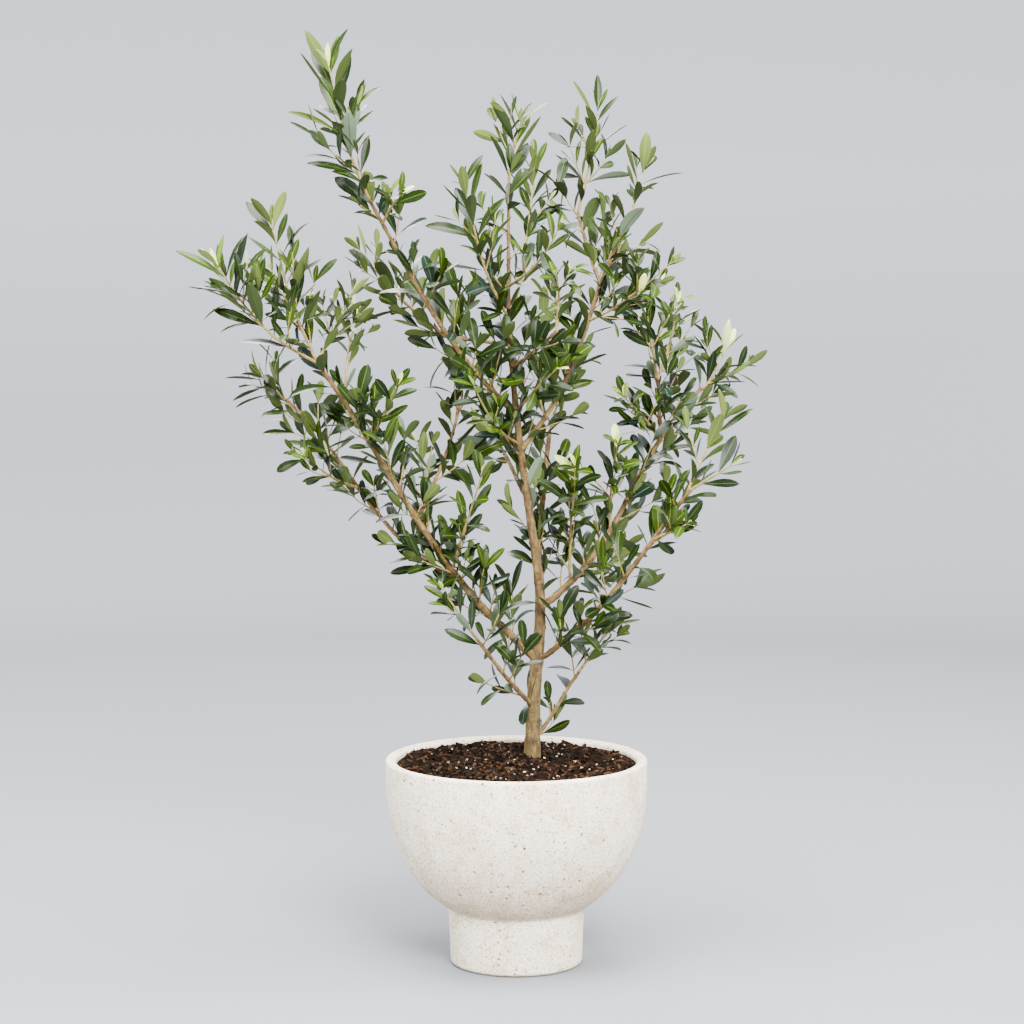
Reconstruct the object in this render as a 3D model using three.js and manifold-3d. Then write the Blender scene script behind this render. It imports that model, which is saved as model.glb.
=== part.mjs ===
// A young olive tree standing in a footed bowl of cast stone, in millimetres, +Z up.
// The origin is at the middle of the bowl's flat underside, and the front of the tree faces -Y.
// Every limb and every mass of foliage is one closed loft, worked out from a few named sizes.

import * as THREE from "three";
import { mergeVertices } from "three/addons/utils/BufferGeometryUtils.js";
import Module from "manifold-3d";

const wasm = await Module();
wasm.setup();

// ---- driving dimensions ----

const gap = 0.3; // left between two pieces that touch

const bowl = {
  radius: 150, // of the bowl at its widest, just under the lip
  widestAt: 221, // height of that widest line
  depth: 173, // how deep the curve of the bowl would run if the foot did not stop it
  squareness: 2.3, // 2 is an ellipse, more holds the wall upright for longer
  wall: 12,
  lipHeight: 232.5, // of the middle of the round lip
  footHeight: 65, // to the crease between foot and bowl
  footTop: 78.5, // radius of the foot at the crease
  footBottom: 76,
  footEdge: 5, // rounding of the foot's lower edge
  floor: 14, // thickness of stone under the soil
  sides: 36,
};

const soilLevel = { middle: 231, edge: 229, flatTo: 105 };

// The trunk's middle line, from just below the soil to the tip: how far it lies up, right and
// back, and how wide it is. It flares at the root, leans right to the second fork, then turns left.
const trunkStations = [
  { up: 226, right: 17, back: 35, wide: 18.5 },
  { up: 238, right: 17, back: 35, wide: 16.5 },
  { up: 270, right: 19, back: 34, wide: 15 },
  { up: 311, right: 20, back: 33, wide: 14 },
  { up: 358, right: 24, back: 31, wide: 13 },
  { up: 417, right: 32, back: 29, wide: 10.5 },
  { up: 458, right: 24, back: 27, wide: 9.5 },
  { up: 539, right: 12, back: 26, wide: 8 },
  { up: 602, right: 3, back: 25, wide: 7 },
  { up: 671, right: -4, back: 24, wide: 5.6 },
  { up: 741, right: -9, back: 24, wide: 4.6 },
];

// Each limb springs from a share `at` of the length of the limb it grows `on`. Its tip lies at
// `reach` from its foot, as right, back and up. `sag` is how far it bellies out below the straight
// line, one third and two thirds of the way along. `foot` and `tip` are its diameters.
const boughs = {
  left: { on: "trunk", at: 0.24, reach: [-245, -90, 345], sag: [30, 0], foot: 9, tip: 3.6 },
  "left-outer": { on: "left", at: 0.32, reach: [-195, 85, 195], sag: [32, -8], foot: 4.5, tip: 2.6 },
  "left-low": { on: "trunk", at: 0.13, reach: [-60, -90, 85], sag: [4, 2], foot: 5, tip: 3 },
  "right-low": { on: "trunk", at: 0.05, reach: [55, 30, 75], sag: [6, -2], foot: 4.4, tip: 2.8 },
  "right-lower": { on: "trunk", at: 0.23, reach: [170, -120, 210], sag: [20, 4], foot: 6, tip: 3.2 },
  "right-upper": { on: "trunk", at: 0.36, reach: [185, 70, 245], sag: [32, -20], foot: 7.5, tip: 3.2 },
  "mid-right": { on: "trunk", at: 0.71, reach: [125, 35, 265], sag: [26, -6], foot: 6, tip: 3 },
  "mid-left": { on: "trunk", at: 0.79, reach: [-160, -110, 240], sag: [20, 8], foot: 5.5, tip: 2.8 },
  "left-inner": { on: "mid-left", at: 0.41, reach: [-75, 70, 65], sag: [4, 4], foot: 3.6, tip: 2.4 },
  "right-upright": { on: "right-upper", at: 0.78, reach: [-10, -30, 65], sag: [20, -14], foot: 3.6, tip: 2.8 },
  "right-inner": { on: "mid-right", at: 0.72, reach: [-25, 60, 80], sag: [4, 0], foot: 3.6, tip: 2.8 },
  front: { on: "trunk", at: 0.89, reach: [50, -75, 45], sag: [2, 2], foot: 4, tip: 2.8 },
  leader: { on: "trunk", at: 1, reach: [0, 5, 125], sag: [-10, -8], foot: 4, tip: 2.6 },
  "left-upright": { on: "left", at: 0.5, reach: [45, 60, 125], sag: [0, 10], foot: 3.6, tip: 2.6 },
  back: { on: "trunk", at: 0.45, reach: [15, 95, 145], sag: [0, -8], foot: 7, tip: 4.5 },
  "back-left": { on: "trunk", at: 0.6, reach: [-30, 95, 50], sag: [4, -4], foot: 4.5, tip: 3 },
};

// A mass of foliage wraps one leafy shoot, and is placed like a limb. `girth` is its width where
// it is fullest, and `bulge` says how far along that is. Its tip is the end of the last leaves.
const foliage = {
  "left-tip": { on: "left", at: 1, reach: [-55, -15, 190], sag: [10, 6], girth: 74, bulge: 0.66 },
  "left-far": { on: "left", at: 1, reach: [-115, -65, 145], sag: [24, 18], girth: 84, bulge: 0.66 },
  "left-fork": { on: "left", at: 1, reach: [45, 50, 100], sag: [4, 4], girth: 50, bulge: 0.55 },
  "left-upright": { on: "left", at: 0.87, reach: [15, 85, 110], sag: [-32, -2], girth: 50, bulge: 0.55 },
  "left-front": { on: "left", at: 0.74, reach: [35, -75, 90], sag: [-4, 12], girth: 50, bulge: 0.6 },
  "left-behind": { on: "left", at: 0.45, reach: [-20, 125, 110], sag: [-32, -14], girth: 50, bulge: 0.6 },
  "outer-tip": { on: "left-outer", at: 1, reach: [-55, 10, 50], sag: [2, 0], girth: 74, bulge: 0.6 },
  "outer-side": { on: "left-outer", at: 0.55, reach: [-85, -55, 50], sag: [10, -6], girth: 45, bulge: 0.6 },
  "left-low": { on: "left-low", at: 1, reach: [-55, -25, 85], sag: [2, 0], girth: 52, bulge: 0.45 },
  "right-low": { on: "right-low", at: 1, reach: [55, 35, 75], sag: [0, 2], girth: 52, bulge: 0.5 },
  "lower-tip": { on: "right-lower", at: 1, reach: [66, -25, 40], sag: [0, -2], girth: 62, bulge: 0.6 },
  "lower-up": { on: "right-lower", at: 0.97, reach: [55, 40, 110], sag: [-6, 4], girth: 60, bulge: 0.65 },
  "lower-side": { on: "right-lower", at: 0.75, reach: [45, -70, 25], sag: [2, -4], girth: 36, bulge: 0.5 },
  "upper-tip": { on: "right-upper", at: 1, reach: [45, 15, 70], sag: [10, -6], girth: 70, bulge: 0.6 },
  "upright-left": { on: "right-upright", at: 1, reach: [-15, -40, 95], sag: [-4, 2], girth: 50, bulge: 0.5 },
  "upright-right": { on: "right-upright", at: 1, reach: [30, 45, 110], sag: [18, -2], girth: 50, bulge: 0.5 },
  "upper-inner": { on: "right-upper", at: 0.75, reach: [-55, -80, 60], sag: [-4, -6], girth: 45, bulge: 0.55 },
  "upper-front": { on: "right-upper", at: 0.37, reach: [5, -80, 125], sag: [-40, 10], girth: 45, bulge: 0.6 },
  "fork-front": { on: "right-upper", at: 0.12, reach: [5, -115, 155], sag: [-40, -24], girth: 58, bulge: 0.55 },
  "upper-behind": { on: "right-upper", at: 0.17, reach: [65, 145, 40], sag: [10, 20], girth: 60, bulge: 0.6 },
  "mid-right-tip": { on: "mid-right", at: 1, reach: [25, 15, 86], sag: [4, 0], girth: 66, bulge: 0.6 },
  "right-inner": { on: "right-inner", at: 1, reach: [30, 20, 158], sag: [4, 0], girth: 70, bulge: 0.7 },
  "mid-right-low": { on: "mid-right", at: 0.57, reach: [105, -75, 80], sag: [10, 2], girth: 55, bulge: 0.55 },
  "mid-right-side": { on: "mid-right", at: 0.79, reach: [60, 55, 40], sag: [-2, 4], girth: 48, bulge: 0.55 },
  front: { on: "front", at: 1, reach: [-5, -45, 60], sag: [-40, -22], girth: 55, bulge: 0.45 },
  "trunk-right": { on: "trunk", at: 0.79, reach: [55, -125, 65], sag: [-4, -2], girth: 46, bulge: 0.55 },
  "leader-left": { on: "trunk", at: 1, reach: [-55, -80, 182], sag: [16, 12], girth: 68, bulge: 0.66 },
  "leader-tip": { on: "leader", at: 1, reach: [20, 10, 132], sag: [-8, 0], girth: 66, bulge: 0.66 },
  "leader-right": { on: "trunk", at: 1, reach: [30, 95, 210], sag: [40, 14], girth: 58, bulge: 0.6 },
  "leader-side": { on: "leader", at: 0.3, reach: [60, -75, 85], sag: [12, 18], girth: 46, bulge: 0.6 },
  top: { on: "mid-left", at: 1, reach: [-52, -15, 184], sag: [10, 4], girth: 80, bulge: 0.76 },
  "top-side": { on: "mid-left", at: 0.9, reach: [30, -55, 45], sag: [-4, 0], girth: 46, bulge: 0.6 },
  "left-inner": { on: "left-inner", at: 1, reach: [-40, 20, 55], sag: [0, 6], girth: 54, bulge: 0.45 },
  "mid-left-low": { on: "mid-left", at: 0.36, reach: [20, 50, 90], sag: [8, 8], girth: 50, bulge: 0.5 },
  "trunk-left": { on: "trunk", at: 0.72, reach: [-55, -120, 95], sag: [14, 18], girth: 46, bulge: 0.6 },
  "inner-upright": { on: "left-upright", at: 1, reach: [-20, 10, 60], sag: [-14, -10], girth: 46, bulge: 0.5 },
  "inner-low": { on: "left", at: 0.34, reach: [40, -80, 140], sag: [0, 10], girth: 50, bulge: 0.55 },
  "back-tip": { on: "back", at: 1, reach: [50, 90, 110], sag: [-8, -8], girth: 60, bulge: 0.5 },
  "back-left": { on: "back-left", at: 1, reach: [-20, 80, 100], sag: [6, 32], girth: 58, bulge: 0.55 },
  "back-high": { on: "trunk", at: 0.86, reach: [50, 165, 120], sag: [2, 20], girth: 56, bulge: 0.6 },
};

const mesh = {
  trunk: { rings: 13, sides: 8 },
  bough: { rings: 7, sides: 6 },
  foliage: { rings: 7, sides: 6 },
};
const shoot = {
  foot: 2.6, // radius of a mass where it leaves its limb
  bluntness: 0.3, // radius left at the tip, as a share of the fullest radius
  uneven: 0.2, // how much the radius wanders, as a share
};

// ---- materials ----

const stone = new THREE.MeshStandardMaterial({ color: 0xe3ded6, roughness: 0.85, metalness: 0 });
const earth = new THREE.MeshStandardMaterial({ color: 0x3a261b, roughness: 1, metalness: 0 });
const bark = new THREE.MeshStandardMaterial({ color: 0xa98f6c, roughness: 0.9, metalness: 0 });
const leaf = new THREE.MeshStandardMaterial({ color: 0x3f5c2c, roughness: 0.6, metalness: 0 });

// ---- solids ----

function solidFrom(geometry) {
  const bare = geometry.clone();
  bare.deleteAttribute("normal");
  bare.deleteAttribute("uv");
  const merged = mergeVertices(bare, 1e-3);
  const solid = new wasm.Mesh({
    numProp: 3,
    vertProperties: merged.attributes.position.array,
    triVerts: new Uint32Array(merged.index.array),
  });
  return new wasm.Manifold(solid);
}

function geometryFrom(solid) {
  const { vertProperties, triVerts } = solid.getMesh();
  const geometry = new THREE.BufferGeometry();
  geometry.setAttribute("position", new THREE.BufferAttribute(vertProperties, 3));
  geometry.setIndex(new THREE.BufferAttribute(triVerts, 1));
  const faceted = geometry.toNonIndexed();
  faceted.computeVertexNormals();
  return faceted;
}

// A cut can leave a chip behind the limb it goes round, and only the main body is kept.
function mainBody(solid) {
  const bodies = solid.decompose();
  return bodies.reduce((largest, body) => (body.volume() > largest.volume() ? body : largest));
}

// A closed tube of rings along a curve. radiusAt gives the radius at a share of the length and an
// angle round it. The ends are closed by fans of triangles.
function loft(curve, rings, sides, radiusAt, swell = 0) {
  const frames = curve.computeFrenetFrames(rings - 1, false);
  const points = [];
  for (let ring = 0; ring < rings; ring++) {
    const share = ring / (rings - 1);
    const centre = curve.getPointAt(share);
    const overrun = ring === 0 ? -swell : ring === rings - 1 ? swell : 0;
    centre.addScaledVector(frames.tangents[ring], overrun);
    for (let side = 0; side < sides; side++) {
      const angle = (side / sides) * 2 * Math.PI;
      const radius = radiusAt(share, angle) + swell;
      const point = centre.clone();
      point.addScaledVector(frames.normals[ring], radius * Math.cos(angle));
      point.addScaledVector(frames.binormals[ring], radius * Math.sin(angle));
      points.push(point);
    }
  }
  const faces = [];
  for (let ring = 0; ring < rings - 1; ring++) {
    for (let side = 0; side < sides; side++) {
      const a = ring * sides + side;
      const b = ring * sides + ((side + 1) % sides);
      faces.push(a, b, b + sides, a, b + sides, a + sides);
    }
  }
  const last = (rings - 1) * sides;
  for (let side = 1; side < sides - 1; side++) {
    faces.push(0, side + 1, side);
    faces.push(last, last + side, last + side + 1);
  }
  const geometry = new THREE.BufferGeometry().setFromPoints(points);
  geometry.setIndex(faces);
  return solidFrom(geometry);
}

// ---- the bowl and its soil ----

function bowlRadiusAt(height) {
  const drop = Math.max(0, bowl.widestAt - height) / bowl.depth;
  return bowl.radius * (1 - drop ** bowl.squareness) ** (1 / bowl.squareness);
}

function arc(centreX, centreY, radius, fromDegrees, toDegrees, steps) {
  return Array.from({ length: steps + 1 }, (_, step) => {
    const angle = THREE.MathUtils.degToRad(fromDegrees + ((toDegrees - fromDegrees) * step) / steps);
    return new THREE.Vector2(centreX + radius * Math.cos(angle), centreY + radius * Math.sin(angle));
  });
}

// The bowl's wall from one height to another, set in from the outside by `inset`.
function wallLine(fromHeight, toHeight, inset, steps) {
  return Array.from({ length: steps + 1 }, (_, step) => {
    const height = fromHeight + ((toHeight - fromHeight) * step) / steps;
    return new THREE.Vector2(bowlRadiusAt(height) - inset, height);
  });
}

// Pot and soil have the same sides, so that their flats run side by side.
function lathe(profile) {
  const geometry = new THREE.LatheGeometry(profile, bowl.sides);
  geometry.rotateX(Math.PI / 2); // the lathe turns about +Y, and the part stands on +Z
  return solidFrom(geometry);
}

// The inside of the bowl, from the middle of its floor to a height on the wall.
function insideLine(topHeight, inset) {
  const well = bowl.footBottom - bowl.wall - inset;
  const floor = bowl.floor + inset;
  const shoulder = bowl.footHeight + bowl.wall * 0.6;
  return [
    new THREE.Vector2(0, floor),
    new THREE.Vector2(well, floor),
    new THREE.Vector2(well, shoulder),
    ...wallLine(shoulder + bowl.wall, topHeight, bowl.wall + inset, 5),
  ];
}

function makeBowl() {
  const lipRadius = bowl.wall / 2;
  const lipMiddle = bowl.radius - lipRadius;
  const profile = [
    new THREE.Vector2(0, 0),
    ...arc(bowl.footBottom - bowl.footEdge, bowl.footEdge, bowl.footEdge, -90, 0, 2),
    new THREE.Vector2(bowl.footTop, bowl.footHeight),
    ...wallLine(bowl.footHeight + 1, bowl.widestAt, 0, 9),
    ...arc(lipMiddle, bowl.lipHeight, lipRadius, 0, 180, 5),
    ...insideLine(bowl.widestAt, 0).reverse(),
  ];
  return lathe(profile);
}

function makeSoil(swell = 0) {
  const edgeHeight = soilLevel.edge + swell;
  const edgeRadius = bowl.radius - bowl.wall - gap + swell;
  const profile = [
    ...insideLine(bowl.widestAt, gap - swell),
    new THREE.Vector2(edgeRadius, edgeHeight),
    new THREE.Vector2(soilLevel.flatTo, soilLevel.middle + swell),
    new THREE.Vector2(0, soilLevel.middle + swell),
  ];
  return lathe(profile);
}

// ---- the tree ----

const up = new THREE.Vector3(0, 0, 1);

function trunkCurve() {
  const stops = trunkStations.map((stop) => new THREE.Vector3(stop.right, stop.back, stop.up));
  return new THREE.CatmullRomCurve3(stops, false, "centripetal");
}

function trunkRadiusAt(share) {
  const foot = trunkStations[0].up;
  const height = foot + share * (trunkStations.at(-1).up - foot);
  const next = trunkStations.findIndex((stop) => stop.up >= height - 1e-6);
  const above = trunkStations[Math.max(1, next)];
  const below = trunkStations[Math.max(1, next) - 1];
  const mix = (height - below.up) / (above.up - below.up);
  return THREE.MathUtils.lerp(below.wide, above.wide, mix) / 2;
}

// The middle line of a limb or shoot: a cubic curve from its foot on the parent's middle line,
// pushed out sideways, square to its straight line, by its two sags.
function limbCurve({ on, at, reach, sag }, curves) {
  const foot = curves.get(on).getPointAt(at);
  const span = new THREE.Vector3(...reach);
  const level = new THREE.Vector3(span.x, span.y, 0).normalize();
  const steepness = span.z / span.length();
  const flatness = Math.hypot(span.x, span.y) / span.length();
  const outward = level.multiplyScalar(steepness).addScaledVector(up, -flatness);
  const pull = 1.5; // a control point of a cubic curve stands this much further out than the curve
  const control = sag.map((amount, index) => {
    const share = (index + 1) / 3;
    return foot.clone().addScaledVector(span, share).addScaledVector(outward, amount * pull);
  });
  return new THREE.CubicBezierCurve3(foot, ...control, foot.clone().add(span));
}

// A slow wave round and along a mass that differs from one seed to the next.
function wander(share, angle, seed) {
  const round = Math.sin(angle * 2 + seed * 1.7 + share * 4);
  const along = Math.sin(angle * 3 - seed * 2.3 - share * 7);
  return 0.6 * round + 0.4 * along;
}

// From a thin foot, the mass swells to its girth and closes over its last leaves.
function foliageRadius({ girth, bulge }, seed) {
  const full = girth / 2;
  return (share, angle) => {
    const rise = THREE.MathUtils.smoothstep(share, 0, bulge);
    const past = Math.max(0, share - bulge) / (1 - bulge);
    const close = Math.sqrt(1 - (1 - shoot.bluntness ** 2) * past ** 2);
    const body = (full - shoot.foot) * rise * close;
    return shoot.foot + body * (1 + shoot.uneven * wander(share, angle, seed));
  };
}

const curves = new Map([["trunk", trunkCurve()]]);
const placed = []; // the swollen shape of each piece so far, which later pieces are cut round

function place(makeSolid) {
  const cut = placed.reduce((solid, piece) => solid.subtract(piece), makeSolid(0));
  placed.push(makeSolid(gap));
  return mainBody(cut);
}

function makeNode(name, solid, material) {
  const node = new THREE.Mesh(geometryFrom(solid), material);
  node.name = name;
  return node;
}

const tree = new THREE.Group();
tree.add(makeNode("pot", makeBowl(), stone));
tree.add(makeNode("soil", place(makeSoil), earth));

const { rings: trunkRings, sides: trunkSides } = mesh.trunk;
const makeTrunk = (swell) => loft(curves.get("trunk"), trunkRings, trunkSides, trunkRadiusAt, swell);
tree.add(makeNode("trunk", place(makeTrunk), bark));

for (const [name, bough] of Object.entries(boughs)) {
  const curve = limbCurve(bough, curves);
  curves.set(name, curve);
  const radiusAt = (share) => THREE.MathUtils.lerp(bough.foot, bough.tip, share) / 2;
  const makeBough = (swell) => loft(curve, mesh.bough.rings, mesh.bough.sides, radiusAt, swell);
  tree.add(makeNode(`bough-${name}`, place(makeBough), bark));
}

Object.entries(foliage).forEach(([name, mass], seed) => {
  const curve = limbCurve(mass, curves);
  const radiusAt = foliageRadius(mass, seed);
  const makeMass = (swell) => loft(curve, mesh.foliage.rings, mesh.foliage.sides, radiusAt, swell);
  tree.add(makeNode(`foliage-${name}`, place(makeMass), leaf));
});

export default tree;
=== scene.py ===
# An olive tree in a footed bowl of cast stone. Bark, twigs, leaves, soil and stone are worked out
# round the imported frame, and everything is in metres.
import functools
import math

import bpy
import numpy as np
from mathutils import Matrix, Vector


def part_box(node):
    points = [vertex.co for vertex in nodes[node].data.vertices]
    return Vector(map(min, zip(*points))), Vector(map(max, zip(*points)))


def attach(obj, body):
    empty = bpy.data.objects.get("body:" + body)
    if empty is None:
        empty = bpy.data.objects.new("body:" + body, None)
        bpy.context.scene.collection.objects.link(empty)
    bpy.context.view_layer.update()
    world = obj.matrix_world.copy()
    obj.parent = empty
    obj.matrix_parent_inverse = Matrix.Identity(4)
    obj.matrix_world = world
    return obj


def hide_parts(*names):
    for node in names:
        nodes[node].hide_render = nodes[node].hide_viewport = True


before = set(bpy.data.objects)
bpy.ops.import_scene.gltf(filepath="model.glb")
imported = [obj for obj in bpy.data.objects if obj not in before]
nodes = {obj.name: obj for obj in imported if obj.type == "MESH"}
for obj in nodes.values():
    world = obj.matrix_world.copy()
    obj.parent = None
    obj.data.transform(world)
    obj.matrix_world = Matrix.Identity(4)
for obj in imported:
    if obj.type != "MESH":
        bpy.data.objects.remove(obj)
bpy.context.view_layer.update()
up = np.array([0.0, 0.0, 1.0])
mm = 0.001
print("frame loaded:", len(nodes), "nodes")


# camera, level with the lower crown and tipped a little down

camera = {
    "place": (-0.005, -3.118, 0.815),
    "tipDegrees": 5.38,
    "lens": 96.7,
}
cameraData = bpy.data.cameras.new("camera")
cameraData.lens = camera["lens"]
cameraData.sensor_width = 36
cameraObject = bpy.data.objects.new("camera", cameraData)
cameraObject.location = camera["place"]
cameraObject.rotation_euler = (math.radians(90 - camera["tipDegrees"]), 0, 0)
bpy.context.collection.objects.link(cameraObject)
bpy.context.scene.camera = cameraObject


# small tools


def linearColour(hexColour):
    # sRGB to linear: the straight foot is divided by 12.92, the rest raised to the power of 2.4
    code = np.array([int(hexColour[i : i + 2], 16) for i in (0, 2, 4)]) / 255
    straight = code / 12.92
    curved = ((code + 0.055) / 1.055) ** 2.4
    return (*np.where(code <= 0.04045, straight, curved), 1.0)


def addNode(material, kind, settings=None, links=None):
    # one node: settings go to its sockets or its own properties, links bring (node, output) in;
    # a number as a key is the place of a socket that shares its name with another
    node = material.node_tree.nodes.new(kind)
    for key, value in (settings or {}).items():
        if key == "stops":
            ramp = node.color_ramp.elements
            for stop, (position, hexColour) in enumerate(value):
                element = ramp[stop] if stop < 2 else ramp.new(position)
                element.position = position
                element.color = linearColour(hexColour)
        elif isinstance(key, int) or key in node.inputs:
            node.inputs[key].default_value = value
        else:
            setattr(node, key, value)
    for key, (source, output) in (links or {}).items():
        material.node_tree.links.new(source.outputs[output], node.inputs[key])
    return node


def newMaterial(name, settings, build=None):
    # a material of one principled shader; build is given addNode for this material as add, and
    # returns the links that its pattern brings to the shader
    material = bpy.data.materials.new(name)
    material.use_nodes = True
    material.node_tree.nodes.clear()
    add = functools.partial(addNode, material)
    shader = add("ShaderNodeBsdfPrincipled", settings, build(add) if build else None)
    add("ShaderNodeOutputMaterial", None, {"Surface": (shader, "BSDF")})
    return material


def mottle(add, place, size, stops, **settings):
    # noise of this size, and the ramp that turns it into colours
    noise = add("ShaderNodeTexNoise", {"Scale": 1 / size, **settings}, {"Vector": place})
    ramp = add("ShaderNodeValToRGB", {"stops": stops}, {"Fac": (noise, "Fac")})
    return noise, ramp


def smoothNoise(points, size, seed):
    # noise from -1 to 1: a random height at each corner of a grid of this size, eased in between
    place = points / size + 31.7 * seed
    cell = np.floor(place).astype(np.int64)
    ease = place - cell
    ease = ease * ease * (3 - 2 * ease)
    total = np.zeros(points.shape[:-1])
    for corner in np.ndindex(2, 2, 2):
        at = cell + np.array(corner)
        mixed = (at[..., 0] * 73856093) ^ (at[..., 1] * 19349663) ^ (at[..., 2] * 83492791)
        mixed = (mixed ^ (mixed >> 13)) * 1274126177 & 0xFFFFFFFF
        height = ((mixed ^ (mixed >> 16)) & 0xFFFF) / 0x7FFF - 1
        weight = np.prod(np.where(np.array(corner) == 1, ease, 1 - ease), axis=-1)
        total += height * weight
    return total


def unit(vectors):
    # each vector over its own length
    return vectors / np.maximum(np.linalg.norm(vectors, axis=-1, keepdims=True), 1e-12)


def makePiece(name, points, faces, materials, slots=None, attributes=None):
    # a mesh from arrays: faces is a list of index arrays, one for each number of corners
    mesh = bpy.data.meshes.new(name)
    points = points.reshape(-1, 3)
    corners = np.concatenate([block.ravel() for block in faces]).astype(np.int32)
    sizes = np.concatenate([np.full(len(block), block.shape[1]) for block in faces])
    starts = np.concatenate([[0], np.cumsum(sizes)[:-1]]).astype(np.int32)
    mesh.vertices.add(len(points))
    mesh.vertices.foreach_set("co", points.astype(np.float32).ravel())
    mesh.loops.add(len(corners))
    mesh.polygons.add(len(sizes))
    mesh.polygons.foreach_set("loop_start", starts)
    mesh.polygons.foreach_set("vertices", corners)
    mesh.update(calc_edges=True)
    for material in materials:
        mesh.materials.append(material)
    if slots is not None:
        mesh.polygons.foreach_set("material_index", np.asarray(slots, np.int32))
    for key, values in (attributes or {}).items():
        kind = "FLOAT_VECTOR" if values.ndim > 1 else "FLOAT"
        field = "vector" if values.ndim > 1 else "value"
        layer = mesh.attributes.new(key, kind, "POINT")
        layer.data.foreach_set(field, values.astype(np.float32).ravel())
    mesh.shade_smooth()
    piece = bpy.data.objects.new(name, mesh)
    bpy.context.collection.objects.link(piece)
    return piece


def finishPiece(piece, replaced=()):
    # the whole tree is one body, so every piece rides on it
    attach(piece, "root")
    if replaced:
        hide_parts(*replaced)


def tubeFaces(tubes, rings, sides):
    # the walls and both ends of a stack of tubes whose points run tube by tube, ring by ring
    ring = np.arange(rings - 1)[:, None] * sides
    side = np.arange(sides)[None, :]
    after = (side + 1) % sides
    wall = np.stack([ring + side, ring + after, ring + sides + after, ring + sides + side], -1)
    start = np.arange(tubes)[:, None, None] * rings * sides
    walls = (wall.reshape(-1, 4)[None] + start).reshape(-1, 4)
    foot = np.arange(sides)[::-1]
    tip = np.arange(sides) + (rings - 1) * sides
    ends = (np.stack([foot, tip])[None] + start).reshape(-1, sides)
    return [walls, ends]


def lengths(path):
    # the distance along a path, or a stack of paths, at each of its points
    steps = np.linalg.norm(np.diff(path, axis=-2), axis=-1)
    return np.concatenate([np.zeros((*steps.shape[:-1], 1)), np.cumsum(steps, axis=-1)], axis=-1)


def pointAt(path, distance):
    # the point, or points, of a path at a distance along it
    along = lengths(path)
    return np.stack([np.interp(distance, along, path[:, axis]) for axis in range(3)], -1)


def headingAt(path, distance, reach):
    # the way a path heads at a distance along it, from just before to just past
    return unit(pointAt(path, distance + reach) - pointAt(path, distance - reach))


def evenly(path, count):
    # the same path with count points at even distances
    return pointAt(path, np.linspace(0, lengths(path)[-1], count))


def soften(path, rounds):
    # rounds the corners: each point moves to a quarter, a half and a quarter of its neighbours
    path = path.copy()
    for _ in range(rounds):
        path[1:-1] = 0.25 * path[:-2] + 0.5 * path[1:-1] + 0.25 * path[2:]
    return path


def crossFrame(path):
    # two directions square to the path at each point, from one steady direction for each path
    tangent = unit(np.gradient(path, axis=-2))
    run = unit(path[..., -1, :] - path[..., 0, :])
    steady = np.eye(3)[np.argmin(np.abs(run), axis=-1)][..., None, :]
    across = unit(steady - (steady * tangent).sum(-1, keepdims=True) * tangent)
    return tangent, across, np.cross(tangent, across)


def tubePoints(path, radius, angles):
    # a circle of points round each point of the path; radius may differ from point to point
    _, across, beyond = crossFrame(path)
    turn = np.cos(angles)[..., None] * across[..., None, :]
    turn = turn + np.sin(angles)[..., None] * beyond[..., None, :]
    return path[..., None, :] + radius[..., None] * turn


# limbs, read back from the frame

reading = {
    "limbStations": np.linspace(0.03, 0.985, 25),
    "massStations": np.linspace(0.12, 0.97, 13),
    "endStations": 5,
    "limbPoints": 160,
    "graftReach": 20 * mm,
    "besideLimb": 1.8 * mm,
    "farEnd": 12 * mm,
}


def nodeArrays(name):
    # the corners of a node, and the pairs of corners that its edges join
    mesh = nodes[name].data
    points = np.empty(len(mesh.vertices) * 3, np.float32)
    mesh.vertices.foreach_get("co", points)
    edges = np.empty(len(mesh.edges) * 2, np.int32)
    mesh.edges.foreach_get("vertices", edges)
    return points.reshape(-1, 3).astype(float), edges.reshape(-1, 2)


def slices(points, edges, start, end, stations):
    # planes square to the line from start to end cut the edges; each gives a middle and two radii
    axis = unit(end - start)
    height = (points - start) @ axis
    foot, tip = points[edges[:, 0]], points[edges[:, 1]]
    low, high = height[edges[:, 0]], height[edges[:, 1]]
    middles, mean, widest = [], [], []
    for station in stations * np.linalg.norm(end - start):
        cut = (low < station) != (high < station)
        share = ((station - low[cut]) / (high[cut] - low[cut]))[:, None]
        met = foot[cut] + share * (tip[cut] - foot[cut])
        middle = (met.min(0) + met.max(0)) / 2
        away = np.linalg.norm(met - middle, axis=1)
        middles.append(middle)
        mean.append(away.mean())
        widest.append(away.max())
    return np.array(middles), np.array(mean), np.array(widest)


def nearest(point, path):
    # which point of a path is nearest, and how far off it is
    away = np.linalg.norm(path - point, axis=1)
    return away.argmin(), away.min()


def radiusAt(limb, share):
    # the radius of a limb at a share of its length
    return np.interp(share, np.linspace(0, 1, len(limb["radius"])), limb["radius"])


def graft(path, limbs):
    # runs the foot of a path straight back until it is nearest to the middle of its parent limb
    heading = unit(path[0] - path[2])
    reach = np.linspace(0, reading["graftReach"], 21)[:, None]
    trial = path[0] + reach * heading
    parents = np.concatenate([limb["path"] for limb in limbs.values()])
    away = np.linalg.norm(trial[:, None] - parents[None], axis=-1)
    _, spot = np.unravel_index(away.argmin(), away.shape)
    return np.concatenate([parents[spot][None], path[1:]])


def runOut(path, start, end):
    # adds the two ends that the slices stop short of, straight on along the limb
    axis = unit(end - start)
    foot = path[0] + axis * ((start - path[0]) @ axis)
    tip = path[-1] + axis * ((end - path[-1]) @ axis)
    return np.concatenate([foot[None], path, tip[None]])


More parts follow.
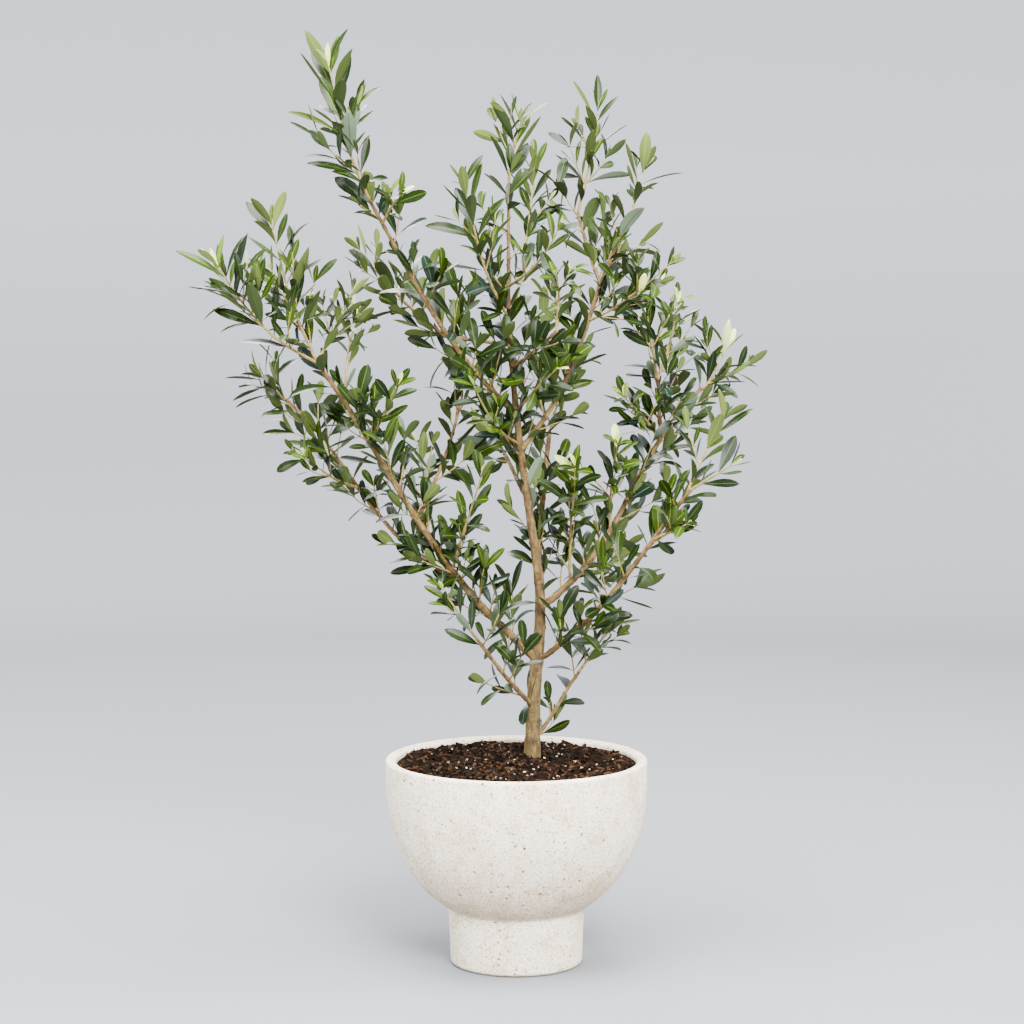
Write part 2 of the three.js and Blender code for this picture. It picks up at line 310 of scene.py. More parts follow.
def readLimb(name, limbs):
    # a limb is long and thin, so its own longest direction is the line it is sliced along
    points, edges = nodeArrays(name)
    middle = points.mean(0)
    axis = np.linalg.svd(points - middle, full_matrices=False)[2][0]
    height = (points - middle) @ axis
    start, end = middle + axis * height.min(), middle + axis * height.max()
    path, _, widest = slices(points, edges, start, end, reading["limbStations"])
    few = reading["endStations"]
    if widest[:few].mean() < widest[-few:].mean():
        path, widest, start, end = path[::-1], widest[::-1], end, start
    path = soften(runOut(path, start, end), 5)
    if limbs:
        path = graft(path, limbs)
    radius = np.linspace(np.median(widest[:few]), np.median(widest[-few:]), len(widest))
    if not limbs:
        radius = soften(widest[:, None], 2)[:, 0]
    return {"name": name, "path": path, "radius": radius}


def readMass(name, limbs):
    # the foot of a mass is its point beside a limb that lies furthest from its middle
    points, edges = nodeArrays(name)
    count = reading["limbPoints"]
    limbPath = np.concatenate([evenly(limb["path"], count) for limb in limbs.values()])
    limbRadius = np.concatenate(
        [radiusAt(limb, np.linspace(0, 1, count)) for limb in limbs.values()]
    )
    away = np.linalg.norm(points[:, None] - limbPath[None], axis=-1) - limbRadius[None]
    beside = away.min(1) < reading["besideLimb"]
    middle = (points.min(0) + points.max(0)) / 2
    fromMiddle = np.linalg.norm(points - middle, axis=1)
    foot = points[np.where(beside, fromMiddle, 0).argmax()]
    start = limbPath[nearest(foot, limbPath)[0]]
    far = points[np.linalg.norm(points - start, axis=1).argmax()]
    height = (points - start) @ unit(far - start)
    end = points[height > height.max() - reading["farEnd"]].mean(0)
    height = (points - start) @ unit(end - start)
    end = start + unit(end - start) * height.max()
    path, girth, _ = slices(points, edges, start, end, reading["massStations"])
    path = soften(np.concatenate([start[None], path]), 3)
    return {"name": name, "path": path, "girth": 2 * girth.max()}


limbs = {}
limbs["trunk"] = readLimb("trunk", limbs)
for name in nodes:
    if name.startswith("bough-"):
        limbs[name] = readLimb(name, limbs)
masses = [readMass(name, limbs) for name in nodes if name.startswith("foliage-")]
print("limbs read:", len(limbs), "masses read:", len(masses))


# bark of the trunk and boughs: old bark is dry, grey-buff and finely cracked, and young bark is
# smooth and tan with pale lenticels, so the eye sees a matt skin that warms towards the tips

bark = {
    "grain": 4.5 * mm,
    "blotch": 14 * mm,
    "old": [(0.3, "33270f"), (0.7, "88743e"), (0.5, "594823")],
    "young": [(0.28, "473216"), (0.72, "a6894e"), (0.5, "6d542b")],
    "clouds": [(0.35, "b09a86"), (0.65, "ffffff")],
    "scarColour": "2e1f12",
    "lenticel": 4.2 * mm,
    "fissure": 0.45 * mm,
    "fissureSize": 3.2 * mm,
    "fineRelief": 0.16 * mm,
    "fineSize": 1.7 * mm,
    "scarSize": 3.5 * mm,
    "oldRadius": 7 * mm,
    "nodeSpacing": 23 * mm,
    "nodeSwell": 0.5 * mm,
    "collar": 0.35,
    "flare": 0.12,
    "fuller": 1.07,
    "skin": 0.2 * mm,
    "knots": 18,
    "knotHeight": 1.2 * mm,
    "knotSize": 3.2 * mm,
    "ringStep": 1.4 * mm,
    "trunkSides": 40,
    "boughSides": 24,
}


def barkPattern(add):
    # streaks along the grain, tinted by age and blotches, with level lenticels and dark scars
    place = add("ShaderNodeAttribute", {"attribute_name": "barkPlace"})
    age = add("ShaderNodeAttribute", {"attribute_name": "youth"})
    stretched = add("ShaderNodeMapping", {"Scale": (1, 1, 0.3)}, {"Vector": (place, "Vector")})
    streaks, oldColour = mottle(
        add, (stretched, "Vector"), bark["grain"], bark["old"], Detail=6.0, Roughness=0.62
    )
    _, clouded = mottle(add, (place, "Vector"), bark["blotch"], bark["clouds"], Detail=3.0)
    youngColour = add("ShaderNodeValToRGB", {"stops": bark["young"]}, {"Fac": (streaks, "Fac")})
    byAge = add(
        "ShaderNodeMixRGB",
        None,
        {"Fac": (age, "Fac"), "Color1": (oldColour, "Color"), "Color2": (youngColour, "Color")},
    )
    tinted = add(
        "ShaderNodeMixRGB",
        {"blend_type": "MULTIPLY", "Fac": 0.65},
        {"Color1": (byAge, "Color"), "Color2": (clouded, "Color")},
    )
    level = add("ShaderNodeMapping", {"Scale": (0.4, 0.4, 1.3)}, {"Vector": (place, "Vector")})
    lenticels = add(
        "ShaderNodeTexVoronoi",
        {"Scale": 1 / bark["lenticel"], "Randomness": 1.0},
        {"Vector": (level, "Vector")},
    )
    spots = add(
        "ShaderNodeValToRGB",
        {"stops": [(0.12, "e0e0e0"), (0.3, "000000")]},
        {"Fac": (lenticels, "Distance")},
    )
    scar = add("ShaderNodeAttribute", {"attribute_name": "scar"})
    darkened = add(
        "ShaderNodeMath", {"operation": "MAXIMUM"}, {0: (spots, "Color"), 1: (scar, "Fac")}
    )
    dark = add(
        "ShaderNodeMixRGB",
        {"Color2": linearColour(bark["scarColour"])},
        {"Fac": (darkened, "Value"), "Color1": (tinted, "Color")},
    )
    relief = add(
        "ShaderNodeBump", {"Strength": 0.5, "Distance": 0.4 * mm}, {"Height": (streaks, "Fac")}
    )
    return {"Base Color": (dark, "Color"), "Normal": (relief, "Normal")}


barkMaterial = newMaterial(
    "olive bark, dry and weathered", {"Roughness": 0.82, "IOR": 1.45}, build=barkPattern
)


def makeBark(limb, sides, seed):
    # the circle at each step is pushed out by noise along the grain, by nodes and knots, and at
    # its foot by a collar, or by the flare of the trunk
    length = lengths(limb["path"])[-1]
    rings = max(24, int(length / bark["ringStep"]))
    path = soften(evenly(limb["path"], rings), 4)
    along = lengths(path)
    share = along / along[-1]
    radius = radiusAt(limb, share)
    swell = bark["flare"] if limb["name"] == "trunk" else bark["collar"]
    radius = radius * (1 + swell * np.exp(-along / (3 * radius[0])))
    node = np.cos(math.pi * along / bark["nodeSpacing"]) ** 24
    radius = radius * bark["fuller"] + bark["skin"] + bark["nodeSwell"] * node
    angles = np.linspace(0, 2 * math.pi, sides, endpoint=False)
    place = np.stack(
        [
            radius[:, None] * np.cos(angles),
            radius[:, None] * np.sin(angles),
            np.broadcast_to(along[:, None], (rings, sides)),
        ],
        -1,
    )
    place = place + np.array([0.0, 0.0, seed * 0.7])
    stretched = place * np.array([1, 1, 0.28])
    thickness = radius / bark["oldRadius"]
    fissures = smoothNoise(stretched, bark["fissureSize"], seed)
    relief = bark["fissure"] * thickness[:, None] * fissures
    relief += bark["fineRelief"] * smoothNoise(place, bark["fineSize"], seed + 1)
    scarred = np.clip(0.2 + smoothNoise(place, bark["scarSize"], seed + 2), 0, 1)
    scar = 0.7 * node[:, None] * scarred
    chooser = np.random.default_rng(seed)
    for _ in range(bark["knots"]):
        spot = chooser.uniform(0.1, 0.95) * along[-1]
        bearing = chooser.uniform(0, 2 * math.pi)
        turnedAway = (angles - bearing + math.pi) % (2 * math.pi) - math.pi
        near = (along[:, None] - spot) ** 2 + (turnedAway[None] * radius[:, None]) ** 2
        bump = np.exp(-near / (bark["knotSize"] * np.minimum(1, thickness[:, None])) ** 2)
        relief += bark["knotHeight"] * np.minimum(1, thickness[:, None]) * bump
        scar = np.maximum(scar, 0.75 * bump**3)
    points = tubePoints(path, radius[:, None] + relief, angles)
    youth = np.broadcast_to(np.clip(1.15 - thickness * 0.95, 0, 1)[:, None], (rings, sides))
    piece = makePiece(
        "bark-" + limb["name"].removeprefix("bough-"),
        points,
        tubeFaces(1, rings, sides),
        [barkMaterial],
        attributes={
            "barkPlace": place.reshape(-1, 3),
            "youth": youth.ravel(),
            "scar": scar.ravel(),
        },
    )
    finishPiece(piece, [limb["name"]])
    return path


for number, limb in enumerate(limbs.values()):
    sides = bark["trunkSides"] if limb["name"] == "trunk" else bark["boughSides"]
    limb["path"] = makeBark(limb, sides, 11 + number)
print("bark made for", len(limbs), "limbs")


# growth: a seeded rule puts leaves in crossed pairs on each shoot, twigs in some of their axils,
# and spurs with a pair or two of leaves all along the boughs

growth = {
    "seed": 20,
    "internode": 20.5 * mm,
    "twigInternode": 16 * mm,
    "spurSpacing": 17 * mm,
    "spurChance": 0.78,
    "twigChance": 0.4,
    "leafForGirth": 0.87,
    "leafLess": 4 * mm,
    "shortestLeaf": 37 * mm,
    "longestLeaf": 63 * mm,
    "bareFoot": 0.1,
    "bareTrunk": 0.34,
    "spurLeaf": (34 * mm, 52 * mm),
    "spurRatio": (0.28, 0.38),
    "spurLength": (12 * mm, 46 * mm),
    "singleShare": 0.42,
    "leafRatio": (0.3, 0.21),
    "leaderFoot": 1.8 * mm,
    "leaderTip": 0.75 * mm,
    "twigFoot": 1.0 * mm,
    "twigTip": 0.55 * mm,
    "upturn": 0.18,
    "drift": 0.1,
    "tuft": 5,
    "light": np.array([0.0, -0.3, 0.3]),
    "fullness": {"left": 1.0, "middle": 0.64, "right": 1.04},
}
leafHabit = {  # lift, bend, sway and twist are a mean and a spread, the other pairs are ranges
    "pitchSpread": 0.14,
    "lift": (0.12, 0.1),
    "wander": 0.06,
    "faceSpread": 0.4,
    "lengthRange": (0.84, 1.14),
    "ratioRange": (0.88, 1.12),
    "bend": (0.22, 0.3),
    "sway": (0, 0.05),
    "twist": (0, 0.22),
    "fold": (0.1, 0.34),
    "narrow": 0.2,
    "fullest": (1.0, 1.25),
    "fullerWhenBroad": 2.6,
    "blunterWhenBroad": 2.8,
}
tintShares = [  # above which youth, and up to which share of the draws each tint is given
    (0.95, [(0.52, "pale"), (0.64, "young"), (0.88, "fresh"), (1, "middle")]),
    (0.75, [(0.06, "pale"), (0.16, "young"), (0.6, "fresh"), (1, "middle")]),
    (0.45, [(0.25, "fresh"), (0.7, "middle"), (1, "deep")]),
    (-1, [(0.06, "fresh"), (0.42, "middle"), (0.78, "deep"), (1, "blue")]),
]
chance = np.random.default_rng(growth["seed"])
leaders, twigs, leaves = [], [], []


def sideways(heading, bearing):
    # a direction square to the heading, turned by a bearing
    steady = up if abs(heading[2]) < 0.8 else np.array([0.0, 1.0, 0.0])
    across = unit(np.cross(heading, steady))
    return math.cos(bearing) * across + math.sin(bearing) * np.cross(heading, across)


def tintFor(youth):
    # leaves go from pale at the very tip through fresh to deep green on old wood
    draw = chance.random()
    shares = next(shares for above, shares in tintShares if youth > above)
    return next(tint for upTo, tint in shares if draw < upTo)


def addLeaf(foot, heading, outward, opening, length, ratio, youth, area):
    # the blade leaves the stem at the opening angle, and its upper face looks up the stem
    pitch = opening + chance.normal(0, leafHabit["pitchSpread"])
    along = math.cos(pitch) * heading + math.sin(pitch) * outward
    along = along + up * chance.normal(*leafHabit["lift"])
    along = unit(along + chance.normal(0, leafHabit["wander"], 3))
    facing = math.sin(pitch) * heading - math.cos(pitch) * outward + growth["light"]
    facing = facing + chance.normal(0, leafHabit["faceSpread"], 3)
    facing = unit(facing - (facing @ along) * along)
    broad = ratio - leafHabit["narrow"]
    leaves.append(
        {
            "foot": foot,
            "along": along,
            "facing": facing,
            "length": length * chance.uniform(*leafHabit["lengthRange"]),
            "ratio": ratio * chance.uniform(*leafHabit["ratioRange"]),
            "bend": chance.normal(*leafHabit["bend"]),
            "sway": chance.normal(*leafHabit["sway"]),
            "twist": chance.normal(*leafHabit["twist"]),
            "fold": chance.uniform(*leafHabit["fold"]),
            "fullest": chance.uniform(*leafHabit["fullest"]) + leafHabit["fullerWhenBroad"] * broad,
            "blunt": float(np.clip(0.86 - leafHabit["blunterWhenBroad"] * broad, 0.48, 0.88)),
            "tint": tintFor(youth),
            "area": area,
        }
    )


def addPair(foot, heading, bearing, opening, length, ratio, youth, area, missing=0.06):
    # two leaves across the stem from each other, either of which may be missing
    for side in (0, math.pi):
        if chance.random() > missing:
            outward = sideways(heading, bearing + side + chance.normal(0, 0.15))
            addLeaf(foot, heading, outward, opening, length, ratio, youth, area)


def bentPath(foot, heading, length):
    # a shoot that starts along its heading and turns a little upwards as it goes
    share = np.linspace(0, 1, 10)[:, None]
    drift = chance.normal(0, growth["drift"], 3)
    return foot + length * (share * heading + share**2 * (growth["upturn"] * up + drift))


def growTwig(foot, heading, length, leafLength, youth, area, leafRatio):
    # a side twig: pairs of leaves along it and one small tuft at its end
    path = bentPath(foot, heading, length)
    twigs.append({"path": path, "foot": growth["twigFoot"], "youth": youth})
    bearing = chance.uniform(0, math.pi)
    step = growth["twigInternode"]
    for spot in np.arange(0.5 * step, length - 0.3 * step, step * chance.uniform(0.85, 1.15)):
        share = spot / length
        at = pointAt(path, spot)
        heading = headingAt(path, spot, 2 * mm)
        size = leafLength * (0.72 + 0.5 * share * (1.2 - share))
        addPair(at, heading, bearing, 0.85, size, leafRatio, youth + 0.25 * share, area)
        bearing += math.pi / 2
    heading = unit(path[-1] - path[-2])
    addPair(path[-1], heading, bearing, 0.5, 0.8 * leafLength, leafRatio, youth + 0.3, area, 0)
    addPair(
        path[-1], heading, bearing + 1.5, 0.3, 0.5 * leafLength, leafRatio, youth + 0.4, area, 0.4
    )


def growMass(mass, area):
    # one leading shoot through the mass, with its pairs, its side twigs and its pale end tuft
    girth = mass["girth"]
    leafLength = growth["leafForGirth"] * girth - growth["leafLess"]
    leafLength = float(np.clip(leafLength, growth["shortestLeaf"], growth["longestLeaf"]))
    whole = lengths(mass["path"])[-1]
    length = whole - 0.62 * leafLength
    path = pointAt(mass["path"], np.linspace(0, length, 30))
    leaders.append({"path": path, "foot": growth["leaderFoot"], "youth": 0.55})
    ratio = float(
        np.interp(leafLength, (growth["shortestLeaf"], growth["longestLeaf"]), growth["leafRatio"])
    )
    often = growth["twigChance"] * growth["fullness"][area]
    bearing = chance.uniform(0, math.pi)
    spot = growth["internode"] * chance.uniform(0.5, 0.9)
    while spot < length - 4 * mm:
        share = spot / length
        at = pointAt(path, spot)
        heading = headingAt(path, spot, 3 * mm)
        size = leafLength * (0.71 + 1.16 * share * (1.12 - share))
        addPair(at, heading, bearing, 0.88 - 0.22 * share, size, ratio, 0.1 + 0.78 * share, area)
        for side in (0, math.pi):
            if share < 0.72 and chance.random() < often:
                outward = sideways(heading, bearing + side)
                twigHeading = unit(0.75 * heading + 0.7 * outward + 0.2 * up)
                room = (0.55 * girth - 0.4 * leafLength) / 0.7 + 12 * mm
                twigLength = room * chance.uniform(0.8, 1.5) * (1.15 - 0.6 * share)
                twigLeaf, twigYouth = 0.74 * leafLength, 0.3 + 0.4 * share
                growTwig(at, twigHeading, twigLength, twigLeaf, twigYouth, area, ratio + 0.02)
        bearing += math.pi / 2 + chance.normal(0, 0.12)
        spot += growth["internode"] * chance.uniform(0.85, 1.15) * (1.12 - 0.42 * share)
    heading = unit(path[-1] - path[-3])
    for leaf in range(growth["tuft"]):
        outward = sideways(heading, bearing + 2.4 * leaf)
        size = leafLength * (0.72 - 0.09 * leaf)
        opening = 0.62 - 0.1 * leaf
        addLeaf(path[-1], heading, outward, opening, size, ratio, 0.9 + 0.03 * leaf, area)


def growSpurs(limb, area):
    # short spurs, twigs and single leaves in crossed places along a limb, past its bare foot
    path = limb["path"]
    length = lengths(path)[-1]
    bare = growth["bareTrunk"] if limb["name"] == "trunk" else growth["bareFoot"]
    bearing = chance.uniform(0, math.pi)
    often = growth["spurChance"] * growth["fullness"][area]
    spot = bare * length
    while spot < length:
        share = spot / length
        at = pointAt(path, spot)
        heading = headingAt(path, spot, 3 * mm)
        radius = radiusAt(limb, share)
        for side in (0, math.pi):
            outward = sideways(heading, bearing + side + chance.normal(0, 0.2))
            draw = chance.random()
            skin = at + 0.8 * radius * outward
            leafLength = chance.uniform(*growth["spurLeaf"])
            ratio = chance.uniform(*growth["spurRatio"])
            if draw < growth["singleShare"] * often:
                addLeaf(skin, heading, outward, 0.95, leafLength, ratio, 0.2, area)
            elif draw < often:
                spurHeading = unit(0.55 * heading + 0.8 * outward + 0.35 * up)
                spurLength = chance.uniform(*growth["spurLength"])
                growTwig(skin, spurHeading, spurLength, leafLength, 0.3, area, ratio)
        bearing += math.pi / 2 + chance.normal(0, 0.15)
        spot += growth["spurSpacing"] * chance.uniform(0.8, 1.25)


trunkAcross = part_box("trunk")
trunkMiddle = (trunkAcross[0].x + trunkAcross[1].x) / 2
areas = ["left", "middle", "right"]
leftBelow, rightAbove = -85 * mm, 60 * mm


def areaOf(path):
    # which third of the tree a limb or mass belongs to
    away = path[:, 0].mean() - trunkMiddle
    return "left" if away < leftBelow else "right" if away > rightAbove else "middle"


massesIn = {area: [] for area in areas}
for mass in masses:
    area = areaOf(mass["path"])
    massesIn[area].append(mass["name"])
    growMass(mass, area)
for limb in limbs.values():
    growSpurs(limb, areaOf(limb["path"]))
print("grown:", len(leaders), "leaders,", len(twigs), "twigs,", len(leaves), "leaves")


# twigs: young olive wood is smooth, yellowish tan and slightly waxy, greener towards the leaves

twigShape = {
    "leader": (44, 10),  # rings and sides
    "twig": (14, 7),
    "nodeSwell": 0.22,
    "mottle": 4 * mm,
    "tan": [(0.3, "664a20"), (0.7, "a08142")],
    "green": [(0.3, "62662c"), (0.7, "949254")],
}


def twigPattern(add):
    # a soft mottle, tan on the older wood and green on the younger
    place = add("ShaderNodeTexCoord")
    youth = add("ShaderNodeAttribute", {"attribute_name": "youth"})
    spots, tan = mottle(add, (place, "Object"), twigShape["mottle"], twigShape["tan"], Detail=4.0)
    green = add("ShaderNodeValToRGB", {"stops": twigShape["green"]}, {"Fac": (spots, "Fac")})
    mixed = add(
        "ShaderNodeMixRGB",
        None,
        {"Fac": (youth, "Fac"), "Color1": (tan, "Color"), "Color2": (green, "Color")},
    )
    return {"Base Color": (mixed, "Color")}


twigMaterial = newMaterial(
    "young olive wood, smooth and waxy", {"Roughness": 0.55, "IOR": 1.45}, build=twigPattern
)


def makeStems(name, stems, rings, sides, tipRadius):
    # all stems of one kind at once: a taper from foot to tip with a small swelling at each node
    path = np.stack([evenly(stem["path"], rings) for stem in stems])
    share = np.linspace(0, 1, rings)
    foot = np.array([stem["foot"] for stem in stems])[:, None]
    radius = foot + (tipRadius - foot) * share
    along = lengths(path)
    node = np.cos(math.pi * along / growth["internode"]) ** 16
    radius = radius * (1 + twigShape["nodeSwell"] * node)
    angles = np.linspace(0, 2 * math.pi, sides, endpoint=False)
    points = tubePoints(path, np.repeat(radius[..., None], sides, -1), angles)
    youth = np.array([stem["youth"] for stem in stems])[:, None] * (0.25 + 0.9 * share)
    youth = np.broadcast_to(youth[..., None], (len(stems), rings, sides))
    piece = makePiece(
        name,
        points,
        tubeFaces(len(stems), rings, sides),
        [twigMaterial],
        attributes={"youth": np.clip(youth, 0, 1).ravel()},
    )
    finishPiece(piece)


makeStems("shoots-leading", leaders, *twigShape["leader"], growth["leaderTip"])
makeStems("shoots-side", twigs, *twigShape["twig"], growth["twigTip"])
print("shoots made")


# leaves: a leathery blade with a satin upper face, a grey felted underside and a pale midrib, so
# the eye sees dark glossy greens with silvery backs; each leaf is dealt one plain tint

leafTints = {
    "deep": {"upper": "0d1904", "under": "394526", "rib": "3a4a1c"},
    "blue": {"upper": "112016", "under": "65735c", "rib": "4c5e42"},
    "middle": {"upper": "172505", "under": "465229", "rib": "4b5c1d"},
    "fresh": {"upper": "273905", "under": "566433", "rib": "6a7b29"},
    "young": {"upper": "4a6410", "under": "7d8a45", "rib": "919c42"},
    "pale": {"upper": "abb75c", "under": "bac480", "rib": "c9d192"},
}
leafFinish = {
    "upper": {"Roughness": 0.3, "IOR": 1.24},
    "under": {"Roughness": 0.8, "IOR": 1.12},
    "rib": {"Roughness": 0.5, "IOR": 1.2},
}
leafMaterials, leafSlot = [], {}
for tint, colours in leafTints.items():
    for face, hexColour in colours.items():
        settings = {"Base Color": linearColour(hexColour), **leafFinish[face]}
        leafSlot[tint, face] = len(leafMaterials)
        leafMaterials.append(newMaterial(f"olive leaf, {tint} {face}", settings))

leafBlade = {
    "steps": np.array([0, 0.08, 0.24, 0.42, 0.6, 0.78, 0.92, 1]),
    "topAcross": np.array([1, 0.55, 0.055, -0.055, -0.55, -1]),
    "underAcross": np.array([-0.09, 0.09]),
    "crown": 0.07,
    "thickness": 0.09,
    "petiole": 0.05,
    "stalk": 0.11,
    "faces": ["upper", "upper", "rib", "upper", "upper", "under", "rib", "under"],
}


def makeLeaves(name, chosen, replaced):
    # every blade at once: an arc for the midrib, a lance-shaped width, a shallow gutter across
    def column(key):
        # one value of every leaf, with room for the steps
        return np.array([leaf[key] for leaf in chosen])[:, None]

    step = leafBlade["steps"][None, :]
    across = np.concatenate([leafBlade["topAcross"], leafBlade["underAcross"]])
    isUnder = np.arange(len(across)) >= len(leafBlade["topAcross"])
    along, facing = column("along"), column("facing")
    beside = np.cross(facing, along)
    length = column("length")
    bend = column("bend")
    bend = np.where(np.abs(bend) < 1e-3, 1e-3, bend)
    forward = length * np.sin(bend * step) / bend
    fallen = -length * (1 - np.cos(bend * step)) / bend
    swayed = length * column("sway") * step**2
    middle = forward[..., None] * along + fallen[..., None] * facing
    middle = middle + swayed[..., None] * beside + column("foot")
    lifted = np.cos(bend * step)[..., None] * facing + np.sin(bend * step)[..., None] * along
    turn = (column("twist") * step)[..., None]
    sideDirection = np.cos(turn) * beside + np.sin(turn) * lifted
    topDirection = np.cos(turn) * lifted - np.sin(turn) * beside
    petiole = leafBlade["petiole"]
    blade = np.clip((step - petiole) / (1 - petiole), 0, 1) ** column("fullest")
    outline = np.sin(math.pi * blade) ** column("blunt")
    stalk = leafBlade["stalk"] * (step < 0.5) + 0.02
    halfWidth = 0.5 * length * column("ratio") * np.maximum(outline, stalk)
    height = column("fold")[..., None] * np.abs(across) + leafBlade["crown"] * (1 - across**2)
    height = height - np.where(isUnder, leafBlade["thickness"] + leafBlade["crown"], 0)
    points = middle[:, :, None]
    points = points + (halfWidth[..., None] * across)[..., None] * sideDirection[:, :, None]
    points = points + (halfWidth[..., None] * height)[..., None] * topDirection[:, :, None]
    rings, sides = len(leafBlade["steps"]), len(across)
    faces = tubeFaces(len(chosen), rings, sides)
    tintSlots = np.array(
        [[leafSlot[leaf["tint"], face] for face in leafBlade["faces"]] for leaf in chosen]
    )
    wallSlots = np.repeat(tintSlots[:, None], rings - 1, axis=1).ravel()
    endSlots = np.repeat(tintSlots[:, 0], 2)
    piece = makePiece(name, points, faces, leafMaterials, np.concatenate([wallSlots, endSlots]))
    mesh = piece.data
    edges = np.empty(len(mesh.edges) * 2, np.int32)
    mesh.edges.foreach_get("vertices", edges)
    places = edges.reshape(-1, 2) % sides
    isAlong = places[:, 0] == places[:, 1]
    rim = np.isin(places[:, 0], (0, len(leafBlade["topAcross"]) - 1)) & isAlong
    mesh.attributes.new("sharp_edge", "BOOLEAN", "EDGE").data.foreach_set("value", rim)
    finishPiece(piece, replaced)
    print(name, len(chosen), "leaves,", len(mesh.polygons), "faces")


for area in areas:
    makeLeaves(f"leaves-{area}", [leaf for leaf in leaves if leaf["area"] == area], massesIn[area])


# the bowl: cast stone, poured, rubbed down and left matt, so the eye sees a warm off-white with
# faint clouds, fine sandy specks and small open pits

potLow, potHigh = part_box("pot")
bowl = {
    "radius": potHigh.x,
    "widestAt": 0.221,
    "depth": 0.173,
    "squareness": 2.3,
    "wall": 0.012,
    "footHeight": 0.065,
    "footTop": 0.0785,
    "footBottom": 0.076,
    "footEdge": 0.005,
    "lipRound": 0.0038,
    "lipFall": 0.0016,
    "floor": 0.014,
    "unevenness": 0.35 * mm,
    "turns": 220,
    "cloud": 30 * mm,
    "clouds": [(0.36, "e6d2b6"), (0.62, "fff3dc"), (0.5, "f8e8cd")],
    "grain": 3 * mm,
    "sand": [(0.35, "bcab96"), (0.52, "ffffff")],
    "specks": [
        {"spacing": 2.2 * mm, "reach": 0.42, "colour": "806748"},
        {"spacing": 3.4 * mm, "reach": 0.33, "colour": "3d3023"},
        {"spacing": 2.8 * mm, "reach": 0.38, "colour": "fffdf8"},
        # the last specks are the open pits: their near-black colour is painted shade inside the
        # hollows
        {"spacing": 9.0 * mm, "reach": 0.2, "colour": "1a1510"},
    ],
}


def bowlRadiusAt(height):
    # a squared ellipse standing on its widest line
    drop = np.clip(bowl["widestAt"] - height, 0, None) / bowl["depth"]
    return bowl["radius"] * (1 - drop ** bowl["squareness"]) ** (1 / bowl["squareness"])


def arcLine(centre, radius, start, end, count):
    # part of a circle in the plane of the profile, from one angle to another
    angle = np.radians(np.linspace(start, end, count))
    return np.stack([centre[0] + radius * np.cos(angle), centre[1] + radius * np.sin(angle)], -1)


def wallLine(low, high, inset, count):
    # the curve of the bowl between two heights, set in from its outside
    height = np.linspace(low, high, count)
    return np.stack([bowlRadiusAt(height) - inset, height], -1)


def turned(profile, turns, seed, unevenness):
    # the profile is turned about the upright axis, and hand finishing leaves it slightly uneven
    angles = np.linspace(0, 2 * math.pi, turns, endpoint=False)
    ring = np.stack([np.cos(angles), np.sin(angles)], -1)
    level = profile[:, None, :1] * ring[None]
    height = np.broadcast_to(profile[:, None, 1:], (len(profile), turns, 1))
    points = np.concatenate([level, height], -1)
    outward = np.concatenate([ring, np.zeros((turns, 1))], -1)[None]
    wave = smoothNoise(points, 0.07, seed) + 0.35 * smoothNoise(points, 0.018, seed + 1)
    return points + (unevenness * wave)[..., None] * outward


def speckleStone(add):
    # clouds, sandy grain, painted shade at the foot and under the bowl, then the specks on top
    place = add("ShaderNodeTexCoord")
    _, base = mottle(
        add, (place, "Object"), bowl["cloud"], bowl["clouds"], Detail=6.0, Roughness=0.6
    )
    grain, sandy = mottle(
        add, (place, "Object"), bowl["grain"], bowl["sand"], Detail=5.0, Roughness=0.7
    )
    found = add(
        "ShaderNodeMixRGB",
        {"blend_type": "MULTIPLY", "Fac": 0.75},
        {"Color1": (base, "Color"), "Color2": (sandy, "Color")},
    )
    apart = add("ShaderNodeSeparateXYZ", None, {"Vector": (place, "Object")})
    # painted shade: a near-black line where the foot meets the floor, and a darker band on the
    # lower bowl just above the foot, fading out upwards, where the overhang shades it
    paintedShade = add(
        "ShaderNodeValToRGB",
        {
            "stops": [
                (0.0, "0c0a08"),
                (bowl["footHeight"] + 0.075, "ffffff"),
                (0.0022, "1c1813"),
                (0.0034, "ffffff"),
                (bowl["footHeight"] - 0.002, "ffffff"),
                (bowl["footHeight"] + 0.004, "c4b8aa"),
                (bowl["footHeight"] + 0.032, "dad0c4"),
            ]
        },
        {"Fac": (apart, "Z")},
    )
    found = add(
        "ShaderNodeMixRGB",
        {"blend_type": "MULTIPLY", "Fac": 0.8},
        {"Color1": (found, "Color"), "Color2": (paintedShade, "Color")},
    )
    for speck in bowl["specks"]:
        # a dot in each cell, whose reach and strength are that cell's own random numbers
        cells = add(
            "ShaderNodeTexVoronoi", {"Scale": 1 / speck["spacing"]}, {"Vector": (place, "Object")}
        )
        draw = add("ShaderNodeSeparateColor", None, {"Color": (cells, "Color")})
        reach = add(
            "ShaderNodeMath", {"operation": "MULTIPLY", 1: speck["reach"]}, {0: (draw, "Red")}
        )
        dot = add(
            "ShaderNodeMath",
            {"operation": "LESS_THAN"},
            {0: (cells, "Distance"), 1: (reach, "Value")},
        )
        weak = add(
            "ShaderNodeMath", {"operation": "MULTIPLY"}, {0: (dot, "Value"), 1: (draw, "Green")}
        )
        found = add(
            "ShaderNodeMixRGB",
            {"Color2": linearColour(speck["colour"])},
            {"Fac": (weak, "Value"), "Color1": (found, "Color")},
        )
    sand = add(
        "ShaderNodeBump", {"Strength": 0.7, "Distance": 0.7 * mm}, {"Height": (grain, "Fac")}
    )
    hollow = add(
        "ShaderNodeBump",
        {"Strength": 0.8, "Distance": 0.8 * mm, "invert": True},
        {"Height": (weak, "Value"), "Normal": (sand, "Normal")},
    )
    return {"Base Color": (found, "Color"), "Normal": (hollow, "Normal")}


stoneMaterial = newMaterial(
    "cast stone, poured and rubbed", {"Roughness": 0.78, "IOR": 1.5}, build=speckleStone
)


